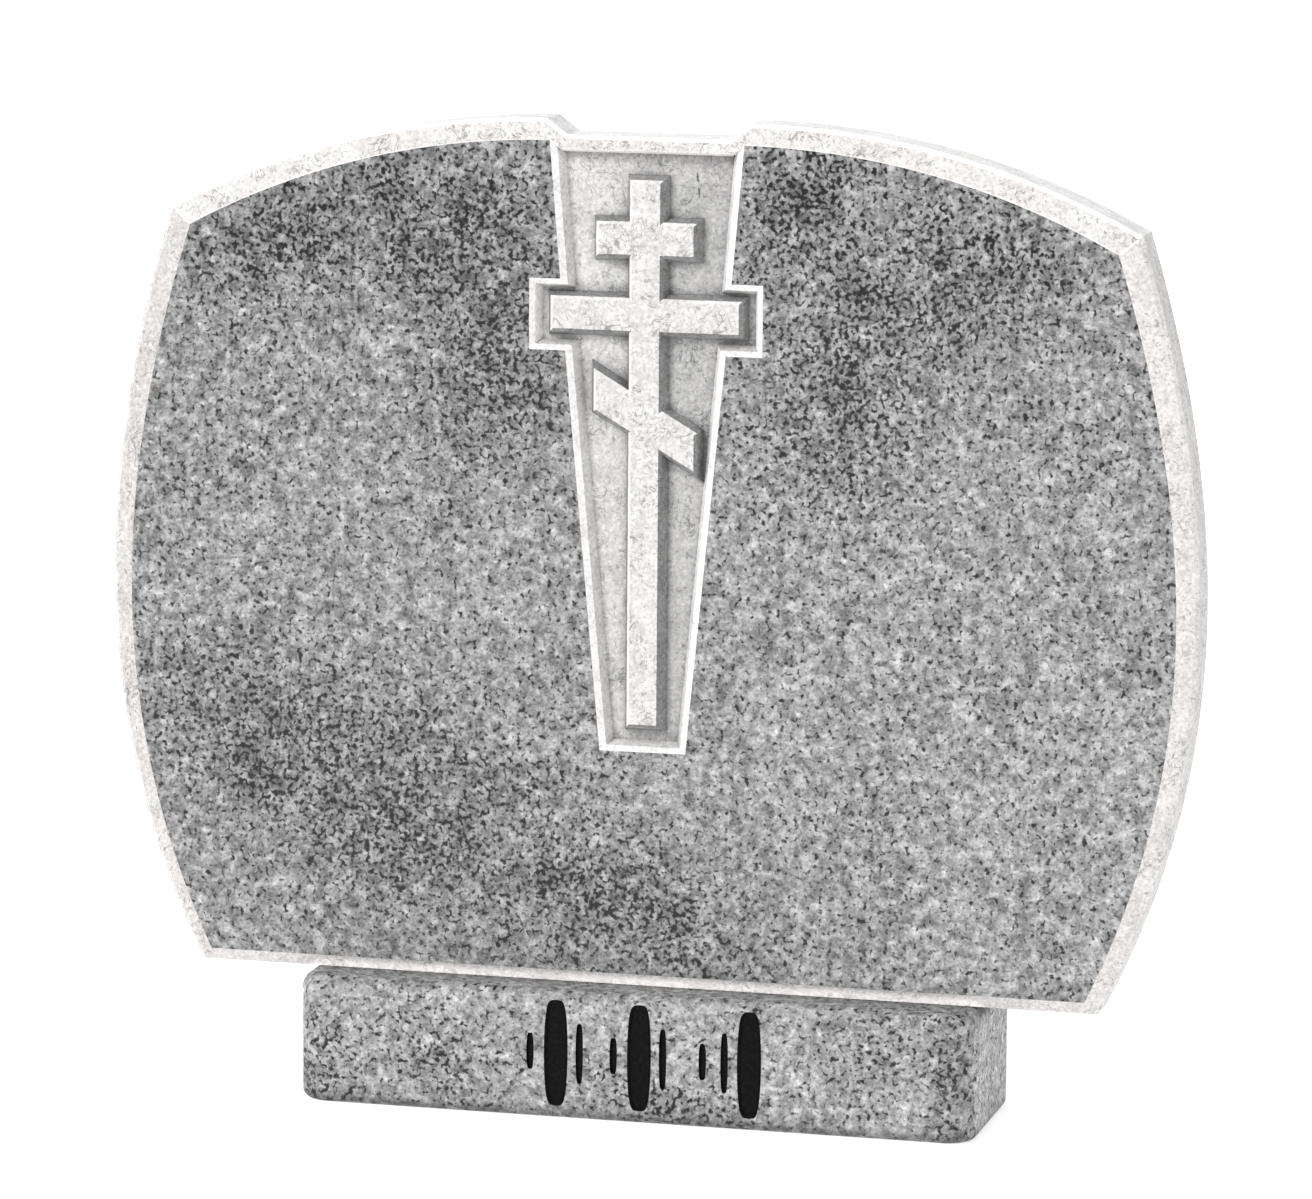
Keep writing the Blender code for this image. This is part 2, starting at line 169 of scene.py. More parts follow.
class Graph:
    """A material's node tree, with short ways to add the nodes that the stones need."""

    def __init__(self, name, roughness):
        self.material = bpy.data.materials.new(name)
        self.material.use_nodes = True
        self.tree = self.material.node_tree
        self.shader = self.tree.nodes["Principled BSDF"]
        self.shader.inputs["Roughness"].default_value = roughness
        self.shader.inputs["IOR"].default_value = STONE_IOR
        self.coords = self.tree.nodes.new("ShaderNodeTexCoord").outputs["Object"]
        self.normal = self.tree.nodes.new("ShaderNodeNewGeometry").outputs["True Normal"]

    def put(self, value, socket):
        if isinstance(value, bpy.types.NodeSocket):
            self.tree.links.new(value, socket)
        else:
            socket.default_value = value

    def math(self, kind, *values):
        node = self.tree.nodes.new("ShaderNodeMath")
        node.operation = kind
        for value, socket in zip(values, node.inputs):
            self.put(value, socket)
        return node.outputs[0]

    def sum(self, *values):
        total = values[0]
        for value in values[1:]:
            total = self.math("ADD", total, value)
        return total

    def noise(self, scale, detail=2.0, rough=0.5, warp=0.0, at=None):
        node = self.tree.nodes.new("ShaderNodeTexNoise")
        self.put(at or self.coords, node.inputs["Vector"])
        node.inputs["Scale"].default_value = scale
        node.inputs["Detail"].default_value = detail
        node.inputs["Roughness"].default_value = rough
        node.inputs["Distortion"].default_value = warp
        return node.outputs[0]

    def cells(self, scale):
        """A random grey for each grain."""
        node = self.tree.nodes.new("ShaderNodeTexVoronoi")
        node.feature = "F1"
        self.put(self.coords, node.inputs["Vector"])
        node.inputs["Scale"].default_value = scale
        split = self.tree.nodes.new("ShaderNodeSeparateColor")
        self.put(node.outputs["Color"], split.inputs[0])
        return split.outputs[0]

    def ramp(self, value, low, high, to_low=0.0, to_high=1.0):
        """A smooth step of the value between low and high."""
        node = self.tree.nodes.new("ShaderNodeMapRange")
        node.interpolation_type = "SMOOTHSTEP"
        for item, socket in zip((value, low, high, to_low, to_high), node.inputs):
            self.put(item, socket)
        return node.outputs[0]

    def shifted(self, offset):
        """The coordinates moved away, so that two noises don't run alike."""
        node = self.tree.nodes.new("ShaderNodeVectorMath")
        node.operation = "ADD"
        self.put(self.coords, node.inputs[0])
        node.inputs[1].default_value = offset
        return node.outputs[0]

    def blob(self, x, z, reach_x, reach_z, turn):
        """A soft spot that fades out from its middle, right through the slab; it serves for marks in the
        stone and for painted shade and painted highlights.
        """
        node = self.tree.nodes.new("ShaderNodeMapping")
        node.vector_type = "TEXTURE"
        self.put(self.coords, node.inputs["Vector"])
        node.inputs["Location"].default_value = (x, 0.0, z)
        node.inputs["Rotation"].default_value = (0.0, math.radians(turn), 0.0)
        node.inputs["Scale"].default_value = (reach_x, BLOB_DEPTH, reach_z)
        fade = self.tree.nodes.new("ShaderNodeTexGradient")
        fade.gradient_type = "SPHERICAL"
        self.put(node.outputs[0], fade.inputs[0])
        return fade.outputs[1]

    def openness(self, reach):
        """1 where a point lies open, less where stone within reach shuts it in."""
        node = self.tree.nodes.new("ShaderNodeAmbientOcclusion")
        node.samples = OPEN_SAMPLES
        node.inputs["Distance"].default_value = reach
        return node.outputs["AO"]

    def along(self, vector, axis):
        node = self.tree.nodes.new("ShaderNodeSeparateXYZ")
        self.put(vector, node.inputs[0])
        return node.outputs[axis]

    def colour(self, tone, tint=(1.0, 1.0, 1.0)):
        """Turn a tone as the eye reads it, 0 to 1, into the shader's colour."""
        light = self.math("POWER", self.math("MAXIMUM", tone, 0.0), EYE_GAMMA)
        mixed = self.tree.nodes.new("ShaderNodeCombineColor")
        for part, socket in zip(tint, mixed.inputs):
            self.put(self.math("MULTIPLY", light, part), socket)
        self.put(mixed.outputs[0], self.shader.inputs["Base Color"])

    def bump(self, height, strength):
        node = self.tree.nodes.new("ShaderNodeBump")
        node.inputs["Strength"].default_value = strength
        node.inputs["Distance"].default_value = BUMP_DISTANCE
        self.put(height, node.inputs["Height"])
        self.put(node.outputs[0], self.shader.inputs["Normal"])


# Darker clouds in the slab: middle (x, z), reach across and along, and turn in degrees
BLOB_DEPTH = 0.6
CLOUDS = (
    (-0.190, 0.805, 0.230, 0.130, 35),
    (-0.130, 0.700, 0.100, 0.170, 20),
    (0.150, 0.835, 0.120, 0.170, 10),
    (0.250, 0.765, 0.250, 0.130, -25),
    (0.180, 0.670, 0.130, 0.170, 0),
    (-0.330, 0.800, 0.170, 0.100, -25),
    (-0.240, 0.280, 0.390, 0.140, 22),
    (-0.020, 0.190, 0.290, 0.110, 25),
    (-0.375, 0.340, 0.170, 0.130, 0),
)

# The same in the plinth, the last of them painted shade along its rounded right arris
PLINTH_CLOUDS_AND_SHADE = (
    (-0.290, 0.030, 0.060, 0.100, 0),
    (-0.185, 0.050, 0.110, 0.065, 35),
    (0.030, 0.020, 0.140, 0.050, 15),
    (0.215, 0.085, 0.080, 0.060, -20),
    (0.297, 0.050, 0.030, 0.130, 0),
)


# The grains: how far each layer swings the tone, and where dark specks begin and how dark they are
GROUND_SWING = 0.84
GRAIN_SWING = 0.46
PALE_SWING = 0.10
SPECK_EDGE = 0.655
SPECK_IN_CLOUD = 0.10
SPECK_DEPTHS = (-0.34, -0.56)
POLISHED_TONE = 0.542
POLISHED_LEAN = 0.012
PLINTH_TONE = 0.585
PLINTH_SPECKS = -0.01
CLOUD_TONE = -0.07
CUT_GRAIN_SWING = 0.38
CUT_PATCH_SWING = 0.20
PAINT_IOR = 1.2


def swung(g, value, swing):
    """A layer that swings the tone evenly to both sides of nought."""
    return g.math("MULTIPLY_ADD", value, swing, -swing / 2)


def speckle(g, cloud, dark_share):
    """Tone of the granite's grains round a middle of nought: mottled ground, pale grains, dark specks."""
    ground = swung(g, g.noise(100.0, 3.0, 0.62, 0.4), GROUND_SWING)
    grain = swung(g, g.noise(300.0, 2.0, 0.55), GRAIN_SWING)
    pale = swung(g, g.cells(145.0), PALE_SWING)
    edge = g.math("SUBTRACT", SPECK_EDGE - dark_share, g.math("MULTIPLY", cloud, SPECK_IN_CLOUD))
    specks = g.noise(215.0, 1.4, 0.5, 0.3, g.shifted((3.1, 1.7, 0.4)))
    dark = g.ramp(specks, g.math("SUBTRACT", edge, 0.095), g.math("ADD", edge, 0.085))
    patches = g.noise(70.0, 2.0, 0.6, 0.0, g.shifted((0.6, 2.2, 3.4)))
    depth = g.ramp(patches, 0.35, 0.65, *SPECK_DEPTHS)
    return g.sum(ground, grain, pale, g.math("MULTIPLY", dark, depth))


def clouded(g, spots, entries, ragged):
    """The darkest of the faint noise given and the clouds listed, painted shade among them in the plinth,
    with their edges torn by another noise.
    """
    for entry in entries:
        spots = g.math("MAXIMUM", spots, g.blob(*entry))
    return g.math("MULTIPLY", spots, ragged)


# Painted shade in a crease and on the plinth's ledge under the tablet: how far off stone counts as near, and
# the two ends of its fade
CREASE_REACH = 0.014
CREASE_SHUT = 0.35
CREASE_OPEN = 0.90
LEDGE_REACH = 0.028
LEDGE_SHUT = 0.40
LEDGE_OPEN = 0.95
LEDGE_SHADE = 0.70

# How far a tone takes to lean over from left to right, and where the plinth's painted light on its right
# side face begins
LEAN_REACH = 0.35
FLANK_TURN = 0.75
FLANK_PAINTED_LIGHT = 0.09

# Lines: a dark hair in the stone of the panel's floor, and painted highlights along the mitres' ridges: each
# has its change of tone, the least share of it that shows, and its blob
LINE_FADE = 0.5
VEIN = (-0.30, 0.0, 0.0445, NOTCH_FLOOR_Z - 0.0265, 0.0014, 0.020, -7.0)
MITRE_HIGHLIGHT_LIFT = 0.30
MITRE_LEAST = 0.8
MITRE_WIDTH = 0.0016
MITRE_REACH = 0.6


def polished_granite():
    g = Graph("granite_polished", 0.30)
    faint = g.ramp(g.noise(9.0, 4.0, 0.6, 0.5, g.shifted((1.3, 0.0, 2.2))), 0.42, 0.75)
    torn = g.ramp(g.noise(18.0, 4.0, 0.65, 0.6), 0.30, 0.66, 0.55, 1.5)
    cloud = g.math("MAXIMUM", g.math("MULTIPLY", faint, 0.35), clouded(g, 0.0, CLOUDS, torn))
    lean = g.ramp(g.along(g.coords, "X"), -LEAN_REACH, LEAN_REACH, -POLISHED_LEAN, POLISHED_LEAN)
    g.colour(g.sum(POLISHED_TONE, speckle(g, cloud, 0.0), g.math("MULTIPLY", cloud, CLOUD_TONE), lean))
    g.bump(g.noise(60.0, 1.0), 0.02)
    return g.material


def plinth_granite():
    g = Graph("granite_plinth", 0.55)
    faint = g.math("MULTIPLY", g.ramp(g.noise(14.0, 4.0, 0.6, 0.5), 0.45, 0.75), 0.5)
    torn = g.ramp(g.noise(26.0, 4.0, 0.65, 0.6), 0.30, 0.66, 0.5, 1.5)
    # Painted shade along the right arris comes in with the clouds
    cloud = clouded(g, faint, PLINTH_CLOUDS_AND_SHADE, torn)
    grains = speckle(g, cloud, PLINTH_SPECKS)
    # Painted light: the plinth's right side face is made paler by which way it faces
    flank = g.ramp(g.along(g.normal, "X"), FLANK_TURN, 1.0, 0.0, FLANK_PAINTED_LIGHT)
    tone = g.sum(PLINTH_TONE, grains, g.math("MULTIPLY", cloud, CLOUD_TONE), flank)
    # Painted shade on the ledge under the tablet, darker where stone shuts it in
    ledge = g.ramp(g.openness(LEDGE_REACH), LEDGE_SHUT, LEDGE_OPEN, LEDGE_SHADE, 1.0)
    g.colour(g.math("MULTIPLY", tone, ledge))
    g.bump(g.noise(420.0, 3.0, 0.6), 0.12)
    return g.material


def mitre_highlights(start, end):
    """The painted highlight along a mitre's ridge of the border, right and left, as a change of tone and a
    blob each.
    """
    middle, run = (start + end) / 2, end - start
    turn = math.degrees(math.atan2(run.y, run.x))
    reach = run.length * MITRE_REACH
    return [(MITRE_HIGHLIGHT_LIFT, MITRE_LEAST, sign * middle.x, middle.y, reach, MITRE_WIDTH, -sign * turn)
            for sign in (1, -1)]


def cut_granite(name, tone, tint, fleck, crease=1.0, lean=0.0, ends=0.0, lines=()):
    """Stone that was cut or blasted and not polished: near white, with fine brownish flecks.

    In a crease its tone goes to that share, painted shade below 1 and painted light above 1; from left to
    right it changes by the lean, and it rises by ends, a painted light, where the box reaches out to either
    side.
    """
    g = Graph(name, 0.80)
    grain = swung(g, g.noise(290.0, 2.5, 0.6), CUT_GRAIN_SWING)
    patch = swung(g, g.noise(55.0, 3.0, 0.6), CUT_PATCH_SWING)
    marks = g.ramp(g.noise(135.0, 2.5, 0.55, 2.2, g.shifted((0.7, 2.9, 1.1))), 0.57, 0.70)
    hair = g.math("SUBTRACT", g.noise(60.0, 2.0, 0.6, 1.2, g.shifted((5.2, 0.3, 2.6))), 0.5)
    hair = g.ramp(g.math("ABSOLUTE", hair), 0.0, 0.030, 1.0, 0.0)
    hair = g.math("MULTIPLY", hair, g.ramp(g.noise(34.0, 2.0), 0.47, 0.60))
    marks = g.math("MAXIMUM", g.math("MULTIPLY", marks, 0.75), hair)
    value = g.sum(tone, grain, patch, g.math("MULTIPLY", marks, -fleck))
    if lean:
        value = g.sum(value, g.ramp(g.along(g.coords, "X"), -LEAN_REACH, LEAN_REACH, -lean / 2, lean / 2))
    # Painted light: the recess floor is lifted towards the box's ends
    if ends:
        aside = g.math("ABSOLUTE", g.along(g.coords, "X"))
        value = g.sum(value, g.ramp(aside, NECK_HALF, BOX_HALF - WALL_BOX, 0.0, ends))
    # Veins in the stone and painted highlights along the mitres
    for change, least, *place in lines:
        line = g.math("MULTIPLY", g.blob(*place), g.ramp(g.noise(110.0), 0.38, 0.55, least, 1.0))
        value = g.sum(value, g.ramp(line, 0.0, LINE_FADE, 0.0, change))
    # Painted shade in a crease when the share is below 1, painted light when it is above 1
    if crease != 1.0:
        shade = g.ramp(g.openness(CREASE_REACH), CREASE_SHUT, CREASE_OPEN, crease, 1.0)
        value = g.math("MULTIPLY", value, shade)
    g.colour(value, tint)
    g.bump(g.noise(520.0, 3.0, 0.65), 0.18)
    return g.material


def paint():
    g = Graph("stroke_paint", 0.60)
    g.shader.inputs["IOR"].default_value = PAINT_IOR
    g.colour(g.math("MULTIPLY_ADD", g.noise(260.0, 2.0), 0.16, -0.02))
    g.bump(g.noise(480.0, 2.0), 0.10)
    return g.material


def bulged(start, end, sag, skew, steps):
    """Points of a bowed line, without its end; a skew makes one part of it fuller."""
    chord = end - start
    out = Vector((chord.y, -chord.x)).normalized()
    points = []
    for i in range(steps):
        t = i / steps
        bow = 4 * t * (1 - t) * (1 + skew * (2 * t - 1))
        points.append(start + chord * t + out * (sag * bow))
    return points


def mirrored(points):
    return [Vector((-p.x, p.y)) for p in reversed(points)]


def outset(points, widths):
    """Move every edge of a counter-clockwise loop out by its own width, with mitred corners."""
    count = len(points)
    normals = []
    for i in range(count):
        edge = points[(i + 1) % count] - points[i]
        normals.append(Vector((edge.y, -edge.x)).normalized())
    moved = []
    for i in range(count):
        n0, n1 = normals[i - 1], normals[i]
        w0, w1 = widths[i - 1], widths[i]
        cross = n0.x * n1.y - n0.y * n1.x
        if abs(cross) < SMOOTH_TURN:
            step = (n0 + n1).normalized() * ((w0 + w1) / 2)
        else:
            step = Vector((w0 * n1.y - w1 * n0.y, w1 * n0.x - w0 * n1.x)) / cross
        moved.append(points[i] + step)
    return moved


def between(a, b, share):
    return [p.lerp(q, share) for p, q in zip(a, b)]


def graded(first, last, steps):
    """Widths of a row of edges that change evenly from one size to another."""
    return [first + (last - first) * (i + 0.5) / steps for i in range(steps)]


def face_loop():
    """Outline of the polished face with the notch, and the bevel's reach edge by edge."""
    foot = Vector((FOOT_HALF, FOOT_Z))
    shoulder = Vector((SHOULDER_HALF, SHOULDER_Z))
    notch = Vector((NOTCH_HALF, NOTCH_Z))
    floor = Vector((NOTCH_HALF - NOTCH_RUN, NOTCH_FLOOR_Z))
    side = bulged(foot, shoulder, SIDE_SAG, SIDE_SKEW, SIDE_STEPS)
    crown = bulged(shoulder, notch, CROWN_SAG, 0.0, CROWN_STEPS)
    right = side + crown + [notch, floor]
    reach = graded(BEVEL_SIDE_LOW, BEVEL_SIDE_HIGH, SIDE_STEPS)
    reach += graded(BEVEL_SHOULDER, BEVEL_CROWN, CROWN_STEPS) + [BEVEL_NOTCH]
    return right + mirrored(right), reach + [BEVEL_NOTCH] + reach[::-1] + [BEVEL_FOOT]


def panel_loop():
    """Outline of the sunk panel, with the reach of its arris and of its whole wall."""
    right = [
        Vector((END_HALF, PANEL_END_Z)),
        Vector((NECK_HALF, BOX_LOW_Z)),
        Vector((BOX_HALF, BOX_LOW_Z)),
        Vector((BOX_HALF, BOX_TOP_Z)),
        Vector((WAIST_HALF, BOX_TOP_Z)),
        Vector((NOTCH_HALF, NOTCH_Z)),
        Vector((NOTCH_HALF - NOTCH_RUN, NOTCH_FLOOR_Z)),
    ]

    def reach(shaft, box, ridge):
        half = [shaft, box, box, box, shaft, ridge]
        return half + [ridge] + half[::-1] + [box]

    arris = reach(ARRIS_SHAFT, ARRIS_BOX, ARRIS_RIDGE)
    wall = reach(WALL_SHAFT, WALL_BOX, WALL_RIDGE)
    return right + mirrored(right), arris, wall


def foot_arm_half():
    taper = PANEL_TAIL_TAPER / PANEL_TAIL
    slope = math.tan(FOOT_ARM_TILT)
    corner_drop = BOX_LOW_Z - FOOT_ARM_Z + FOOT_ARM_HEIGHT / (2 * math.cos(FOOT_ARM_TILT)) + CROSS_FLARE
    room = WALL_SHAFT * math.hypot(1.0, taper) + CROSS_FLARE + FOOT_ARM_END_ROOM
    return (NECK_HALF - taper * corner_drop - room) / (1 + taper * slope)


def arm_corners(side, level, half, height, tilt):
    def corner(x, up):
        return Vector((x, level - x * math.tan(tilt) + up * height / (2 * math.cos(tilt))))

    x0, x1 = side * STEM_HALF, side * half
    return [corner(x0, -side), corner(x1, -side), corner(x1, side), corner(x0, side)]


def cross_loop():
    """Outline of the three-armed cross, counter-clockwise from the foot of its stem."""
    arms = [
        (FOOT_ARM_Z, foot_arm_half(), FOOT_ARM_HEIGHT, FOOT_ARM_TILT),
        (MAIN_ARM_Z, MAIN_ARM_HALF, MAIN_ARM_HEIGHT, 0.0),
        (TITLE_ARM_Z, TITLE_ARM_HALF, MAIN_ARM_HEIGHT, 0.0),
    ]
    right = [Vector((STEM_HALF, STEM_FOOT_Z))]
    left = [Vector((-STEM_HALF, STEM_TOP_Z))]
    for arm in arms:
        right += arm_corners(1, *arm)
    for arm in reversed(arms):
        left += arm_corners(-1, *arm)
    return right + [Vector((STEM_HALF, STEM_TOP_Z))] + left + [Vector((-STEM_HALF, STEM_FOOT_Z))]


def ring(bm, points, y):
    return [bm.verts.new((p.x, y, p.y)) for p in points]


def bridge(bm, lower, upper, look):
    """Quads between two rings of the same length, in one look or with a look for each."""
    count = len(lower)
    for i in range(count):
        j = (i + 1) % count
        face = bm.faces.new((lower[i], lower[j], upper[j], upper[i]))
        face.material_index = look[i] if isinstance(look, list) else look


def fill_between(bm, outer, inner, look):
    """Flat fill between an outline and an island inside it."""
    edges = []
    for loop in (outer, inner):
        for i, vert in enumerate(loop):
            edges.append(bm.edges.get((vert, loop[(i + 1) % len(loop)])))
    made = bmesh.ops.triangle_fill(bm, use_beauty=True, use_dissolve=False, edges=edges,
                                   normal=(0.0, -1.0, 0.0))
    for item in made["geom"]:
        if isinstance(item, bmesh.types.BMFace):
            item.material_index = look


def as_object(name, bm, looks):
    bmesh.ops.recalc_face_normals(bm, faces=bm.faces)
    mesh = bpy.data.meshes.new(name)
    bm.to_mesh(mesh)
    bm.free()
    for look in looks:
        mesh.materials.append(look)
    made = bpy.data.objects.new(name, mesh)
    bpy.context.scene.collection.objects.link(made)
    return made


def add_piece(name, bm, looks, node):
    """Put a finished mesh into the scene in place of its CAD node."""
    piece = as_object(name, bm, looks)
    piece.data.shade_smooth()
    piece.data.set_sharp_from_angle(angle=SHARP_TURN)
    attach(piece, "root")
    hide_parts(node)
    return piece


# The tablet's looks, in the order in which it carries them
POLISHED, ARRIS_AND_HIGHLIGHT, CUT, LIT_CROWN, LIT_TOP, LIT_FOOT, SIDE, WALL, SHADED_WALL, LIT_END, FLOOR, CROSS, SHADED_FLANK, SHADE, SAWN = range(15)


def round_looks(side, crown, foot):
    """A look for each edge of the tablet's outline."""
    half = [side] * SIDE_STEPS + [crown] * (CROWN_STEPS + 1)
    return half + [crown] + half[::-1] + [foot]


def lit_looks(points, lit, dim, sign):
    """One look for the edges that face up or left, and another for those that face down or right: lit and
    shaded copies, painted light and shade by which way an edge faces.
    """
    looks = []
    for i, point in enumerate(points):
        edge = points[(i + 1) % len(points)] - point
        looks.append(dim if sign * (edge.x + edge.y) > 0 else lit)
    return looks


def build_tablet():
    bm = bmesh.new()
    face, reach = face_loop()
    count = len(face)
    bevel = outset(face, [w - INSIDE for w in reach])
    outer = outset(bevel, [EDGE_REACH] * (count - 1) + [0.0])
    front = ring(bm, face, FRONT)
    line = ring(bm, between(face, bevel, EDGE_LINE), FRONT + EDGE_LINE * BEVEL_DEPTH)
    rim = ring(bm, bevel, FRONT + BEVEL_DEPTH)
    edge = ring(bm, outer, FRONT + BEVEL_DEPTH + EDGE_DEPTH)
    rear_edge = ring(bm, outer, BACK - REAR_ARRIS)
    rear = ring(bm, outset(outer, [-REAR_ARRIS] * count), BACK)
    # Along the crown the line facet is a painted highlight and the bevel and top are painted light; along
    # the foot the bevel and its line facet are painted light where the plinth shuts them in.
    bridge(bm, front, line, round_looks(CUT, ARRIS_AND_HIGHLIGHT, LIT_FOOT))
    bridge(bm, line, rim, round_looks(CUT, LIT_CROWN, LIT_FOOT))
    bridge(bm, rim, edge, round_looks(SIDE, LIT_TOP, SIDE))
    bridge(bm, edge, rear_edge, round_looks(SIDE, LIT_TOP, SIDE))
    bridge(bm, rear_edge, rear, SIDE)
    back = bm.faces.new(rear)
    back.material_index = SAWN

    # The panel's top edge is the notch's own edge, so the two rings share those corners
    panel, arris, wall = panel_loop()
    notch_right = SIDE_STEPS + CROWN_STEPS
    shared = front[notch_right:notch_right + NOTCH_CORNERS]
    notch_first = (len(panel) - NOTCH_CORNERS) // 2
    notch_end = notch_first + NOTCH_CORNERS
    mouth = []
    for i, point in enumerate(panel):
        if notch_first <= i < notch_end:
            mouth.append(shared[i - notch_first])
        else:
            mouth.append(bm.verts.new((point.x, FRONT, point.y)))
    step = ring(bm, outset(panel, [-w for w in arris]), FRONT + ARRIS_DEPTH)
    floor = ring(bm, outset(panel, [-w for w in wall]), FRONT + PANEL_DEPTH)
    bridge(bm, mouth, step, ARRIS_AND_HIGHLIGHT)
    # Painted light and shade: walls facing up or left take the lit look, walls facing down or right the
    # shaded copy
    walls = lit_looks(panel, WALL, SHADED_WALL, -1)
    walls[notch_first:notch_end - 1] = [ARRIS_AND_HIGHLIGHT] * (NOTCH_CORNERS - 1)
    # The box's end walls take a look painted lighter, a painted light
    for i, point in enumerate(panel[:-1]):
        if point.x == panel[i + 1].x:
            walls[i] = LIT_END
    bridge(bm, step, floor, walls)
    right_of_panel = front[:notch_right + 1] + mouth[:notch_first][::-1]
    left_of_panel = mouth[notch_end:][::-1] + front[notch_right + NOTCH_CORNERS - 1:]
    polished = bm.faces.new(right_of_panel + left_of_panel)
    polished.material_index = POLISHED

    cross = cross_loop()
    sides = len(cross)
    top = ring(bm, outset(cross, [-CROSS_BEVEL] * sides), FRONT)
    shoulder = ring(bm, cross, FRONT + CROSS_BEVEL_DEPTH)
    base = ring(bm, outset(cross, [CROSS_FLARE] * sides), FRONT + PANEL_DEPTH)
    cap = bm.faces.new(top)
    cap.material_index = CROSS
    # The cross's bevels facing up or left take a painted highlight, those facing down or right painted
    # shade; its flanks are painted dark as shade
    bridge(bm, top, shoulder, lit_looks(cross, ARRIS_AND_HIGHLIGHT, SHADE, 1))
    bridge(bm, shoulder, base, SHADED_FLANK)
    fill_between(bm, floor, base, FLOOR)
    big = [f for f in bm.faces if len(f.verts) > 4]
    bmesh.ops.triangulate(bm, faces=big, quad_method="BEAUTY", ngon_method="BEAUTY")

    mitre_highlight_marks = mitre_highlights(face[SIDE_STEPS], bevel[SIDE_STEPS])
    # Painted light and shade in the looks: the crown, its top and the foot are painted lighter, the foot
    # most where the plinth shuts it in; walls, recess floor and cross flanks get painted shade in their
    # creases, the flanks and the shade look are a dark painted shade, and the recess floor is painted
    # lighter at the box's ends.
    looks = [
        polished_granite(),
        cut_granite("granite_arris_and_painted_highlight", 0.88, (1.0, 0.985, 0.975), 0.07),
        cut_granite("granite_bevel", 0.790, (1.0, 0.960, 0.945), 0.22, lean=0.06, lines=mitre_highlight_marks),
        cut_granite("granite_crown_painted_light", 0.835, (1.0, 0.960, 0.945), 0.26, lines=mitre_highlight_marks),
        cut_granite("granite_top_painted_light", 0.98, (1.0, 0.990, 0.985), 0.08),
        cut_granite("granite_foot_painted_light", 0.79, (1.0, 0.970, 0.960), 0.14, crease=1.58),
        cut_granite("granite_side", 0.83, (1.0, 0.975, 0.960), 0.20),
        cut_granite("granite_wall", 0.82, (1.0, 0.985, 0.975), 0.10, crease=0.85),
        cut_granite("granite_painted_shade_wall", 0.83, (1.0, 0.985, 0.975), 0.10, crease=0.82),
        cut_granite("granite_box_end_painted_light", 0.93, (1.0, 0.985, 0.975), 0.08),
        cut_granite("granite_recess", 0.72, (1.0, 0.988, 0.982), 0.20, crease=0.58, lean=-0.50, ends=0.13,
                    lines=[VEIN]),
        cut_granite("granite_cross", 0.80, (1.0, 0.980, 0.970), 0.22),
        cut_granite("granite_flank_painted_shade", 0.54, (1.0, 0.990, 0.985), 0.10, crease=0.80),
        cut_granite("granite_shade", 0.50, (1.0, 0.990, 0.985), 0.08),
        cut_granite("granite_sawn", 0.74, (1.0, 0.995, 0.985), 0.18),
    ]
    return add_piece("marker_tablet", bm, looks, "tablet")


def stroke_outline(low, high, width):
    """A long leaf shape with its two ends drawn to a point."""
    middle, reach = (low + high) / 2, (high - low) / 2
    right = []
    for i in range(STROKE_STEPS + 1):
        t = -math.cos(math.pi * i / STROKE_STEPS)
        right.append(Vector((width / 2 * max(0.0, 1 - t * t) ** STROKE_BLUNT, middle + reach * t)))
    return right + mirrored(right[1:-1])


def stroke_cutter(bm, x, low, high, width):
    """A shallow tapered cutter in front of the plinth, reaching into its face."""
    face_y = -PLINTH_DEPTH / 2
    slope = width * STROKE_TAPER
    spread = slope * STROKE_CLEAR / STROKE_DEPTH
    mouth = stroke_outline(low - spread, high + spread, width + spread + spread)
    bed = stroke_outline(low + slope, high - slope, width - slope - slope)
    across = Vector((x, 0.0))
    outer = ring(bm, [p + across for p in mouth], face_y - STROKE_CLEAR)
    inner = ring(bm, [p + across for p in bed], face_y + STROKE_DEPTH)
    bridge(bm, outer, inner, 1)
    for loop in (outer, inner):
        face = bm.faces.new(loop)
        face.material_index = 1


def strokes():
    """Every stroke of the row: middle, low end, high end, width."""
    low = STROKE_FOOT_MARGIN
    high = PLINTH_HEIGHT - STROKE_HEAD_MARGIN
    for x in WIDE_STROKES:
        yield x, low, high, STROKE_WIDE
    for share, places in ((STROKE_LONG_SHARE, LONG_STROKES), (STROKE_SHORT_SHARE, SHORT_STROKES)):
        trim = (high - low) * (1 - share) / 2
        for x in places:
            yield x, low + trim, high - trim, STROKE_THIN


def block_ring(bm, inset, level):
    """One level of the block: a rectangle with round corners, in from its full size by the inset."""
    half_x = PLINTH_WIDTH / 2 - PLINTH_CORNER
    half_y = PLINTH_DEPTH / 2 - PLINTH_CORNER
    reach = PLINTH_CORNER - inset
    verts = []
    for quarter, (side_x, side_y) in enumerate(((1, 1), (-1, 1), (-1, -1), (1, -1))):
        for i in range(ROUND_STEPS + 1):
            angle = math.pi / 2 * (quarter + i / ROUND_STEPS)
            x = side_x * half_x + reach * math.cos(angle)
            y = side_y * half_y + reach * math.sin(angle)
            verts.append(bm.verts.new((x, y, level)))
    return verts


def block_levels():
    """Inset and level of each ring of the block, from its underside to its top."""
    for i in range(ROUND_STEPS + 1):
        angle = math.pi / 2 * i / ROUND_STEPS
        yield PLINTH_FOOT_ROUND * (1 - math.sin(angle)), PLINTH_FOOT_ROUND * (1 - math.cos(angle))
    for i in range(ROUND_STEPS + 1):
        angle = math.pi / 2 * i / ROUND_STEPS
        drop = PLINTH_TOP_ROUND * (1 - math.sin(angle))
        yield PLINTH_TOP_ROUND * (1 - math.cos(angle)), PLINTH_HEIGHT - drop


